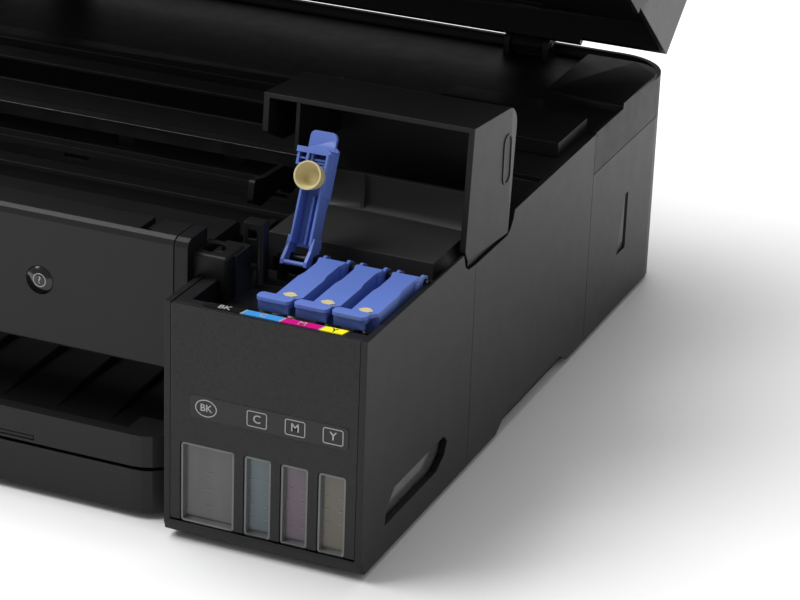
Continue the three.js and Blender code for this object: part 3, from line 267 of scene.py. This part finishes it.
def roundedBlock(low, high, radius, steps=2):
    alone(None)
    centre = [(a + b) / 2 * mm for a, b in zip(low, high)]
    bpy.ops.mesh.primitive_cube_add(size=1, location=centre)
    piece = bpy.context.object
    piece.scale = [(b - a) * mm for a, b in zip(low, high)]
    bpy.ops.object.transform_apply(location=False, rotation=False, scale=True)
    bpy.ops.object.mode_set(mode="EDIT")
    bpy.ops.mesh.select_all(action="SELECT")
    bpy.ops.mesh.bevel(offset=radius * mm, segments=steps)
    bpy.ops.object.mode_set(mode="OBJECT")
    return piece


def spotOn(face, u, v, level):
    # a point of a drawing on the front, the top or the right side of the object
    return Vector({"front": (u, level, v), "top": (u, v, level), "side": (level, u, v)}[face]) * mm


outwards = {"front": Vector((0, -1, 0)), "top": Vector((0, 0, 1)), "side": Vector((1, 0, 0))}


def drawn(face, points, level, thick, corner=0.0, hollow=0.0, steps=4):
    # an outline drawn point by point and filled, its corners rounded,
    # hollowed to a ring, and pulled to its thickness
    places = [spotOn(face, u, v, level) for u, v in points]
    alone(None)
    bpy.ops.mesh.primitive_plane_add(size=0.001, location=places[0])
    piece = bpy.context.object
    bpy.ops.object.mode_set(mode="EDIT")
    bpy.ops.mesh.select_mode(type="VERT")
    bpy.ops.mesh.select_all(action="SELECT")
    bpy.ops.mesh.merge(type="CENTER")
    for before, after in zip(places, places[1:]):
        bpy.ops.mesh.extrude_region_move(TRANSFORM_OT_translate={"value": after - before})
    bpy.ops.mesh.select_all(action="SELECT")
    bpy.ops.mesh.edge_face_add()
    if corner:
        bpy.ops.mesh.bevel(offset=corner * mm, segments=steps, affect="VERTICES")
    if hollow:
        bpy.ops.mesh.select_mode(type="FACE")
        bpy.ops.mesh.select_all(action="SELECT")
        bpy.ops.mesh.inset(thickness=hollow * mm)
        bpy.ops.mesh.delete(type="FACE")
    bpy.ops.mesh.select_all(action="SELECT")
    bpy.ops.mesh.extrude_region_move(TRANSFORM_OT_translate={"value": outwards[face] * thick * mm})
    bpy.ops.mesh.select_all(action="SELECT")
    bpy.ops.mesh.normals_make_consistent(inside=False)
    bpy.ops.object.mode_set(mode="OBJECT")
    return piece


def rectangle(u0, u1, v0, v1):
    return [(u0, v0), (u1, v0), (u1, v1), (u0, v1)]


def oblong(u, v, width, height):
    return rectangle(u - width / 2, u + width / 2, v - height / 2, v + height / 2)


def ellipse(u, v, width, height, count=28):
    turns = [2 * math.pi * i / count for i in range(count)]
    return [(u + width / 2 * math.cos(t), v + height / 2 * math.sin(t)) for t in turns]


def lettering(text, height, face, u, v, level, thick=0.08, weight=0.02):
    alone(None)
    turned = (math.radians(90), 0, 0) if face == "front" else (0, 0, 0)
    bpy.ops.object.text_add(location=spotOn(face, u, v, level), rotation=turned)
    piece = bpy.context.object
    piece.data.body = text
    piece.data.size = height * 1.4 * mm
    piece.data.align_x = "CENTER"
    piece.data.align_y = "CENTER"
    piece.data.extrude = thick * mm
    piece.data.offset = weight * mm
    piece.data.resolution_u = 3
    bpy.ops.object.convert(target="MESH")
    return bpy.context.object


def joined(pieces):
    alone(pieces[0])
    for piece in pieces:
        piece.select_set(True)
    if len(pieces) > 1:
        bpy.ops.object.join()
    return bpy.context.object


def dress(piece, slot, finish=None):
    piece.data.materials.clear()
    piece.data.materials.append(finish or finishes[slot])
    return piece


slotOf = {s["node"]: s["material_slot"] for s in frame["record"]["subparts"]}
finished = {name: dress(refined(name), slotOf[name]) for name in nodes}
guardGrey = plastic("leverGuardGrey", (0.026, 0.026, 0.027), (0.46, 0.52), 1300, 0.25, 0.05, 0.35)
dress(finished["lever_guard"], "inner_black", guardGrey)
framePlate = plastic("blackenedFramePlate", (0.009, 0.009, 0.01), (0.42, 0.5), 900, 0.2, 0.05, 0.3)
dress(finished["chassis_frame"], "dark_steel", framePlate)
print("CAD pieces finished")


# tank windows: a clear rim round a set-back pane in the ink's tint
windows = {
    "ink_tank_black": {"tint": (0.052, 0.052, 0.052), "ticks": 3, "x": (113.5, 135.4)},
    "ink_tank_cyan": {"tint": (0.052, 0.080, 0.095), "ticks": 4, "x": (139.7, 150.4)},
    "ink_tank_magenta": {"tint": (0.085, 0.055, 0.078), "ticks": 4, "x": (154.6, 165.4)},
    "ink_tank_yellow": {"tint": (0.085, 0.075, 0.055), "ticks": 4, "x": (169.7, 180.6)},
}
pane = {"front": -173.1, "inner": -171.9, "near": 0.05, "rim": 0.8, "slope": 0.5, "depth": 2.2,
        "skin": 0.2, "top": 41.7, "bottom": 9, "thick": 0.2, "corner": 0.8}
tick = {"low": 16, "span": 21, "sink": 0.2, "thick": 0.15}


def inkPane(name, tint):
    material, tree, shader, place = newTree(name)
    cloud = noise(tree, stretched(tree, place, (60, 60, 10)), 2.2, 4)
    tone = ramp(tree, cloud, [(0.3, shade(tint, 0.85)), (0.7, shade(tint, 1.15))])
    tree.links.new(tone, shader.inputs["Base Color"])
    tree.links.new(between(tree, noise(tree, place, 300, 2), 0.16, 0.24), shader.inputs["Roughness"])
    shader.inputs["Coat Weight"].default_value = 0.5
    shader.inputs["Coat Roughness"].default_value = 0.08
    softenedEdges(tree, shader, noise(tree, place, 260, 2), 0.1, 0.0002, 0.0)
    return material


def pickFaces(piece, depth):
    # only the faces at this depth stay selected, in edit mode
    bpy.ops.object.mode_set(mode="EDIT")
    bpy.ops.mesh.select_mode(type="FACE")
    bpy.ops.mesh.select_all(action="DESELECT")
    bpy.ops.object.mode_set(mode="OBJECT")
    for face in piece.data.polygons:
        face.select = all(abs(piece.data.vertices[v].co.y / mm - depth) < pane["near"]
                          for v in face.vertices)
    bpy.ops.object.mode_set(mode="EDIT")


paneRim = inkPane("clearPaneRim", (0.1, 0.102, 0.105))
for node, look in windows.items():
    ink = node.removeprefix("ink_tank_")
    tank = finished[node]
    dress(tank, "tank_resin", paneRim)
    alone(tank)
    pickFaces(tank, pane["inner"])
    bpy.ops.transform.translate(value=(0, (pane["depth"] + pane["skin"]) * mm, 0))
    pickFaces(tank, pane["front"])
    bpy.ops.mesh.inset(thickness=pane["rim"] * mm)
    bpy.ops.mesh.inset(thickness=pane["slope"] * mm, depth=-pane["depth"] * mm)
    bpy.ops.object.mode_set(mode="OBJECT")
    smoothed(tank, 30)
    # the tinted pane and its level marks
    x0, x1 = look["x"]
    edge = pane["rim"] + pane["slope"] - 0.1
    level = pane["front"] + pane["depth"] + 0.05
    outline = rectangle(x0 + edge, x1 - edge, pane["bottom"] + edge, pane["top"] - edge)
    slab = drawn("front", outline, level, pane["thick"], pane["corner"])
    settle(slab, "tintedPane_" + ink, "chassis", "tank_resin", inkPane("tint_" + ink, look["tint"]))
    marks = []
    for i in range(look["ticks"]):
        z = tick["low"] + i * tick["span"] / look["ticks"]
        # middle, width, height and corner of each mark at this height
        if look["ticks"] == 3:
            row = [((x0 + x1) / 2, 3.6, 0.4, 0.12)]
        else:
            row = [(x0 + 3.0, 2.0, 0.35, 0.1), (x1 - 2.6, 1.6, 0.35, 0.1)]
        for x, width, height, corner in row:
            marks.append(drawn("front", oblong(x, z, width, height), level - tick["sink"],
                               tick["thick"], corner, 0, 2))
    grey = inkPane("markGrey_" + ink, shade(look["tint"], 1.9))
    settle(joined(marks), "levelMarks_" + ink, "chassis", "tank_resin", grey)
print("tank windows made")


# marks on the tank front: a smooth band with one outlined letter for each ink
band = {"x": (117.3, 181.3), "z": (53, 62), "level": -173.5, "thick": 0.15, "corner": 1.6}
signs = [("BK", 123.9, "round"), ("C", 144.6, "box"), ("M", 160.0, "box"), ("Y", 175.2, "box")]
sign = {"z": 57.6, "thick": 0.06, "weight": 0.05}
bandPiece = drawn("front", rectangle(*band["x"], *band["z"]), band["level"], band["thick"], band["corner"])
smoothBand = plastic("smoothBand", (0.0085, 0.0085, 0.009), (0.3, 0.36), 1500, 0.04, 0.04, 0.35)
settle(bandPiece, "signBand", "chassis", "gloss_black", smoothBand)
level = band["level"] - band["thick"]
for text, x, outline in signs:
    if outline == "round":
        ring = drawn("front", ellipse(x, sign["z"], 8.9, 7.0), level, sign["thick"], 0, 0.38)
        height = 2.9
    else:
        ring = drawn("front", oblong(x, sign["z"], 8.2, 6.4), level, sign["thick"], 0.9, 0.35)
        height = 3.3
    letter = lettering(text, height, "front", x, sign["z"], level, sign["thick"], sign["weight"])
    settle(joined([ring, letter]), "tankSign_" + text, "chassis", "guide_grey", finishes["print_white"])
print("tank signs made")


# colour strip along the front edge of the filler deck
strip = {"level": 97.0, "thick": 0.35, "y": (-171.1, -167.1), "slant": 0.9, "divider": 0.7}
inkFields = [
    # letters, left and right edge, colour, finish of the letters
    ("BK", 121.0, 136.6, (0.006, 0.006, 0.006), "print_white"),
    ("C", 136.6, 152.0, (0.045, 0.28, 0.68), "print_white"),
    ("M", 152.0, 167.7, (0.55, 0.0, 0.2), "print_white"),
    ("Y", 167.7, 177.2, (0.9, 0.82, 0.015), "gloss_black"),
]
y0, y1 = strip["y"]
lean = strip["slant"]


def slantedField(left, right):
    points = [(left, y0), (right, y0), (right + lean, y1), (left + lean, y1)]
    return drawn("top", points, strip["level"], strip["thick"])


for text, x0, x1, colour, ink in inkFields:
    label = plastic("labelInk_" + text, colour, (0.3, 0.36), 900, 0.05, 0.03, 0.4, 0.0)
    settle(slantedField(x0, x1 - strip["divider"]), "inkField_" + text, "chassis", None, label)
    if text != "Y":
        divider = slantedField(x1 - strip["divider"], x1)
        settle(divider, "fieldDivider_" + text, "chassis", None, finishes["print_white"])
    word = lettering(text, 3.0, "top", (x0 + x1 + lean) / 2 - 0.4, (y0 + y1) / 2,
                     strip["level"] + strip["thick"], 0.05, 0.06)
    settle(word, "fieldLetter_" + text, "chassis", None, finishes[ink])
print("colour strip made")


# cream locating bosses that show through the levers' tops
boss = {"y": -155.4, "level": 100.9, "thick": 0.35, "radius": 2.15, "ear": 2.9, "points": 24}
leverSwing = 115
leverX = {"black": 133.6, "cyan": 148.65, "magenta": 163.7, "yellow": 178.75}
leverPivot = Vector((0, -113.5, 97.0)) * mm
for colour, x in leverX.items():
    rim = []
    for i in range(boss["points"]):
        turn = 2 * math.pi * i / boss["points"]
        reach = boss["ear"] if i % 12 in (0, 1, 11) else boss["radius"]
        narrow = 0.55 if i % 12 in (1, 11) else 1
        rim.append((x + reach * math.cos(turn), boss["y"] + boss["radius"] * math.sin(turn) * narrow))
    piece = drawn("top", rim, boss["level"], boss["thick"], 0.2, 0, 2)
    if colour == "black":
        alone(piece)
        bpy.ops.object.transform_apply(location=True, rotation=True, scale=True)
        bpy.ops.transform.rotate(value=math.radians(-leverSwing), orient_axis="X",
                                 center_override=leverPivot)
    settle(piece, "leverBoss_" + colour, "lever_" + colour, "plug_cream")
print("lever bosses made")


# help key: ring and question mark
helpKey = {"x": 41.5, "z": 84, "ring": 5.6, "thick": 0.05}
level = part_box("help_button")[0][1] / mm
outline = ellipse(helpKey["x"], helpKey["z"], helpKey["ring"], helpKey["ring"])
ring = drawn("front", outline, level, helpKey["thick"], 0, 0.35)
mark = lettering("?", 3.0, "front", helpKey["x"], helpKey["z"], level, helpKey["thick"], 0.03)
settle(joined([ring, mark]), "helpSign", "help", "guide_grey", finishes["print_white"])
print("help sign made")


# screw turret at the left of the filler deck
turret = {"low": (102.4, -146.5, 88.0), "high": (118.4, -130.5, 106.0), "round": 1.3,
          "well": (109.6, -138.6, 4.4), "wellDepth": 12, "floor": 100.5}
screw = {"radius": 3.4, "height": 1.6, "round": 0.4, "turned": 20, "reach": 2.2, "half": 0.4}


def cylinder(x, y, z, radius, depth, sides):
    alone(None)
    bpy.ops.mesh.primitive_cylinder_add(vertices=sides, radius=radius * mm, depth=depth * mm,
                                        location=Vector((x, y, z)) * mm)
    return bpy.context.object


def bored(piece, cutter, name):
    # takes the cutter's shape out of the piece, then deletes the cutter
    alone(piece)
    cutting = piece.modifiers.new(name, "BOOLEAN")
    cutting.operation = "DIFFERENCE"
    cutting.object = cutter
    bpy.ops.object.modifier_apply(modifier=cutting.name)
    alone(cutter)
    bpy.ops.object.delete()


block = roundedBlock(turret["low"], turret["high"], turret["round"], 3)
x, y, radius = turret["well"]
bit = cylinder(x, y, turret["floor"] + turret["wellDepth"] / 2, radius, turret["wellDepth"], 40)
bored(block, bit, "well")
settle(block, "screwTurret", "chassis", "inner_black")
head = cylinder(x, y, turret["floor"] + screw["height"] / 2, screw["radius"], screw["height"], 36)
bpy.ops.object.mode_set(mode="EDIT")
bpy.ops.mesh.select_all(action="SELECT")
bpy.ops.mesh.bevel(offset=screw["round"] * mm, segments=3)
bpy.ops.object.mode_set(mode="OBJECT")
for turn in (0, 90):
    low = (x - screw["reach"], y - screw["half"], turret["floor"] + 0.9)
    high = (x + screw["reach"], y + screw["half"], turret["floor"] + 3)
    cross = roundedBlock(low, high, 0.1, 1)
    cross.rotation_euler = (0, 0, math.radians(turn + screw["turned"]))
    bored(head, cross, "crossSlot")
settle(head, "turretScrew", "chassis", "dark_steel")
print("screw turret made")


# finger groove in the lid's right side
groove = {"y": -40.5, "z": (112, 133), "width": 8.5, "level": 187.2, "rim": 0.9}
z0, z1 = groove["z"]
outline = oblong(groove["y"], (z0 + z1) / 2, groove["width"], z1 - z0)
track = drawn("side", outline, groove["level"] - 0.1, 0.45, groove["width"] / 2 - 0.05, groove["rim"], 8)
settle(track, "lidGroove", "lid", "case_black")
print("lid groove made")


# scanner arm with a slotted end, beside the tank unit
arm = {"level": 93.0, "thick": 2.6, "corner": 1.6}
armOutline = [(-78, 100), (-70, 96), (-52, 98), (-44, 92), (-38, 92),
              (-38, 98), (-48, 106), (-66, 107), (-76, 109)]
link = drawn("side", armOutline, arm["level"], arm["thick"], arm["corner"], 0, 4)
settle(link, "scannerArm", "chassis", "inner_black")
print("scanner arm made")


# floor, light and camera
floor = {"size": 9.0, "tone": 0.93}
alone(None)
bpy.ops.mesh.primitive_plane_add(size=floor["size"], location=(0, 0, cadBox[0][2] - 0.0002))
ground = bpy.context.object
ground.name = "studioFloor"
material, tree, shader, place = newTree("paleFloor")
tone = floor["tone"]
pale = ramp(tree, noise(tree, place, 2.5, 2), [(0.3, (tone - 0.01,) * 3), (0.7, (tone,) * 3)])
tree.links.new(pale, shader.inputs["Base Color"])
shader.inputs["Roughness"].default_value = 0.7
shader.inputs["Specular IOR Level"].default_value = 0.2
ground.data.materials.append(material)

bpy.context.scene.view_settings.view_transform = "Standard"
world = bpy.context.scene.world or bpy.data.worlds.new("studio")
bpy.context.scene.world = world
world.use_nodes = True
world.node_tree.nodes["Background"].inputs["Color"].default_value = (1.0, 1.0, 1.0, 1)
world.node_tree.nodes["Background"].inputs["Strength"].default_value = 0.36

lamps = [
    # name, place, aim, width, height, power
    ("keyPanel", (-1.1, -0.6, 1.7), (0.0, 0.0, 0.05), 1.3, 1.3, 34),
    ("topPanel", (-0.5, 0.7, 2.0), (0.05, 0.0, 0.05), 1.8, 1.2, 44),
]
for name, spot, aim, width, height, power in lamps:
    light = bpy.data.lights.new(name, "AREA")
    light.shape = "RECTANGLE"
    light.size = width
    light.size_y = height
    light.energy = power
    lamp = bpy.data.objects.new(name, light)
    bpy.context.scene.collection.objects.link(lamp)
    lamp.location = spot
    lamp.rotation_euler = (Vector(aim) - Vector(spot)).to_track_quat("-Z", "Y").to_euler()

shot = {"azimuth": 22.455, "elevation": 23.381, "roll": 2.112,
        "place": (0.55384, -1.03143, 0.51760), "lens": 130.03}
a, e, r = (math.radians(shot[k]) for k in ("azimuth", "elevation", "roll"))
back = Vector((math.sin(a) * math.cos(e), -math.cos(a) * math.cos(e), math.sin(e)))
right = Vector((0, 0, 1)).cross(back).normalized()
up = back.cross(right)
across = right * math.cos(r) + up * math.sin(r)
upright = up * math.cos(r) - right * math.sin(r)
lens = bpy.data.cameras.new("shotCamera")
lens.sensor_fit = "HORIZONTAL"
lens.sensor_width = 36
lens.lens = shot["lens"]
lens.clip_start = 0.05
lens.clip_end = 40
camera = bpy.data.objects.new("shotCamera", lens)
bpy.context.scene.collection.objects.link(camera)
facing = Matrix((across, upright, back)).transposed().to_4x4()
camera.matrix_world = Matrix.Translation(shot["place"]) @ facing
bpy.context.scene.camera = camera
print("floor, light and camera set")
